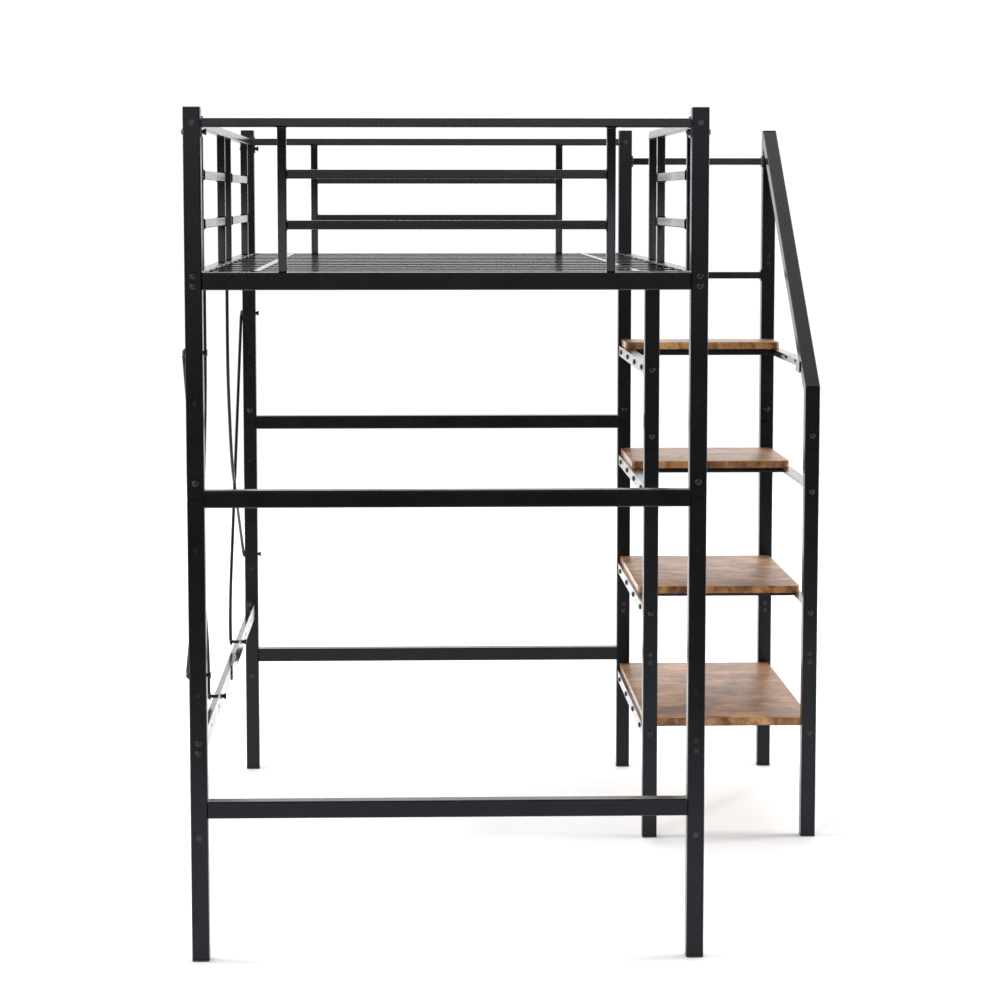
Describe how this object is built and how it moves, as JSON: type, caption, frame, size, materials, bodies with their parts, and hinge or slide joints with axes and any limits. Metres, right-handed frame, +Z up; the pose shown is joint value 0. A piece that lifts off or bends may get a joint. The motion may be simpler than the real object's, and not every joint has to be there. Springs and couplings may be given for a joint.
{
  "type": "loft bed with stair",
  "caption": "High single bed on square tube posts, with a guard rail all round, an open space below for a desk, and a step stair with a sloping handrail along the right side.",
  "frame": {"origin": "on the floor, under the middle of the whole object", "axes": "+X to the stair side, +Y from the foot end to the head end, +Z up"},
  "size_m": [1.433, 1.988, 1.72],
  "materials": {
    "post_black": "semi-gloss black powder coat",
    "rail_black": "semi-gloss black powder coat",
    "guard_black": "semi-gloss black powder coat",
    "deck_black": "semi-gloss black powder coat",
    "angle_black": "semi-gloss black powder coat",
    "rod_black": "semi-gloss black powder coat",
    "splice_black": "semi-gloss black powder coat",
    "fastener_black": "black oxide, slightly worn",
    "screw_black": "black zinc",
    "plug_plastic": "moulded black plastic",
    "foot_plastic": "moulded black plastic",
    "board_wood": "rustic brown wood-grain laminate"
  },
  "bodies": {
    "root": {"board_screws": "screw_black", "cap_nuts": "fastener_black", "deck_rail_splices": "splice_black", "deck_slats": "deck_black", "deck_straps": "deck_black", "foot_deck_rail": "rail_black", "foot_falling_rod": "rod_black", "foot_guard": "guard_black", "foot_left_lower_post": "post_black", "foot_left_upper_post": "post_black", "foot_low_crossbar": "rail_black", "foot_mid_crossbar": "rail_black", "foot_right_lower_post": "post_black", "foot_right_upper_post": "post_black", "foot_rising_rod": "rod_black", "frame_bolts": "fastener_black", "guard_brackets": "angle_black", "guard_splice": "splice_black", "handrail": "post_black", "handrail_upright": "post_black", "head_deck_rail": "rail_black", "head_falling_rod": "rod_black", "head_guard": "guard_black", "head_left_lower_post": "post_black", "head_left_upper_post": "post_black", "head_low_crossbar": "rail_black", "head_mid_crossbar": "rail_black", "head_right_lower_post": "post_black", "head_right_upper_post": "post_black", "head_rising_rod": "rod_black", "hole_plugs": "plug_plastic", "left_deck_rail_foot": "rail_black", "left_deck_rail_head": "rail_black", "left_guard_foot": "guard_black", "left_guard_head": "guard_black", "left_low_rail_foot": "angle_black", "left_low_rail_head": "angle_black", "low_rail_splice": "splice_black", "post_feet": "foot_plastic", "post_sleeves": "splice_black", "post_top_caps": "plug_plastic", "right_deck_rail_foot": "rail_black", "right_deck_rail_head": "rail_black", "right_guard": "guard_black", "slat_screws": "screw_black", "stair_back_bars": "guard_black", "stair_back_lower_post": "post_black", "stair_back_upper_post": "post_black", "stair_inner_lower_post": "post_black", "stair_inner_upper_post": "post_black", "stair_outer_lower_post": "post_black", "step_angles_1": "angle_black", "step_angles_2": "angle_black", "step_angles_3": "angle_black", "step_angles_4": "angle_black", "step_board_1": "board_wood", "step_board_2": "board_wood", "step_board_3": "board_wood", "step_board_4": "board_wood", "step_crossbars": "guard_black"}
  },
  "joints": []
}
